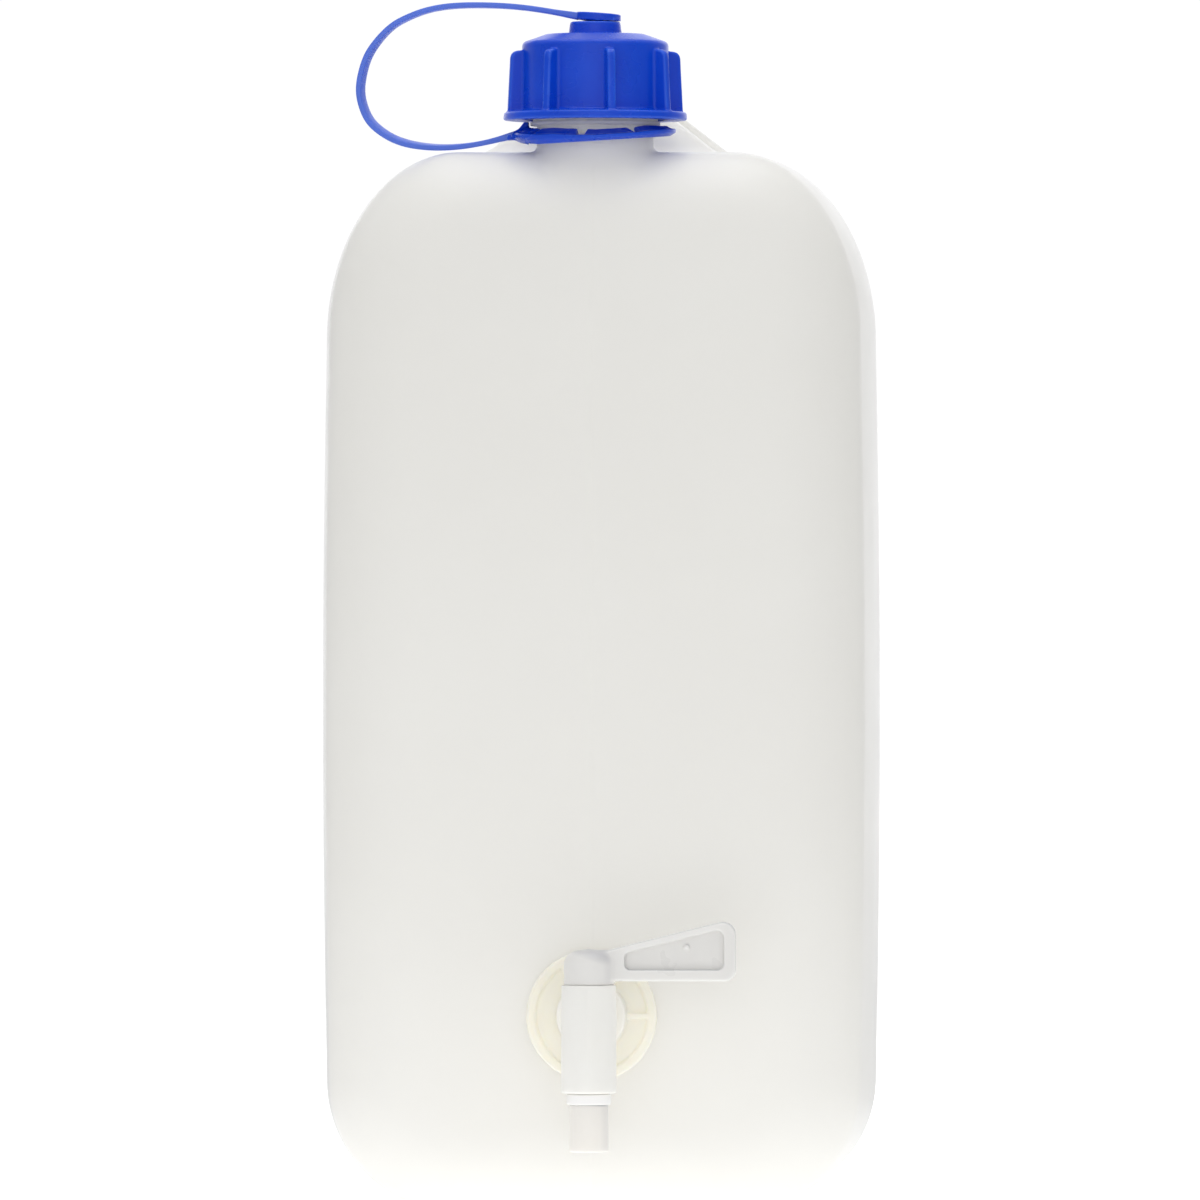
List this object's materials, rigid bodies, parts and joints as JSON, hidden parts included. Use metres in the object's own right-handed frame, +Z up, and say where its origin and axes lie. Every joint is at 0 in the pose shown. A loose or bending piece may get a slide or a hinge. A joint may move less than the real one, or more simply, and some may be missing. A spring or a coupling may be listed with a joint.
{
  "type": "water canister with tap",
  "caption": "Upright translucent plastic canister with carry grip, ribbed screw cap on a tether strap, and a quarter-turn lever tap low on the front.",
  "frame": {"origin": "middle of the base, on the surface the canister stands on", "axes": "+Z up; the tap and the filler neck are on the -Y side; +X is to the right for someone facing the tap; the shut tap lever points to +X"},
  "size_m": [0.216, 0.2376, 0.4688],
  "materials": {
    "natural_pe": "natural translucent polyethylene, satin blow-moulded skin",
    "boss_pe": "cream natural polyethylene, injection moulded",
    "blue_pe": "blue polyethylene, satin gloss injection moulded",
    "strap_pe": "the same blue polyethylene, lighter where it is thin",
    "tap_pe": "natural milky polyethylene, smooth injection moulded",
    "ring_pe": "white polyethylene",
    "gasket_rubber": "white foamed sealing ring",
    "seal_rubber": "pale food grade rubber"
  },
  "bodies": {
    "root": {"canister_body": "natural_pe", "outlet_boss": "boss_pe", "tap_body": "tap_pe", "tap_shank_washer": "seal_rubber"},
    "tether": {"tether_ring": "blue_pe", "tether_strap": "strap_pe"},
    "tether_end": {"tether_eyelet": "blue_pe"},
    "gasket": {"cap_gasket": "gasket_rubber"},
    "cap": {"screw_cap": "blue_pe"},
    "tap_key": {"tap_key": "tap_pe", "tap_key_oring_upper": "seal_rubber", "tap_key_oring_lower": "seal_rubber", "tap_retaining_ring": "ring_pe"}
  },
  "joints": [
    {"name": "cap_lift", "type": "slide", "parent": "root", "child": "gasket", "axis": [0, 0, 1], "range_m": [0, 0.0301]},
    {"name": "cap_turn", "type": "hinge", "parent": "gasket", "child": "cap", "pos_m": [0, -0.068, 0.44], "axis": [0, 0, 1], "range_deg": [0, 1800]},
    {"name": "tether_swivel", "type": "hinge", "parent": "root", "child": "tether", "pos_m": [0, -0.068, 0.416], "axis": [0, 0, 1], "range_deg": [-35, 215]},
    {"name": "eyelet_lift", "type": "slide", "parent": "tether", "child": "tether_end", "axis": [0, 0, 1], "range_m": [0, 0.0301], "deforming": ["tether_strap"]},
    {"name": "tap_turn", "type": "hinge", "parent": "root", "child": "tap_key", "pos_m": [0, -0.127, 0.09], "axis": [0, 0, 1], "range_deg": [-90, 0]}
  ],
  "couplings": [
    {"joint": "cap_lift", "follows": "cap_turn", "m_per_rad": 0.00095493},
    {"joint": "eyelet_lift", "follows": "cap_turn", "m_per_rad": 0.00095493}
  ]
}
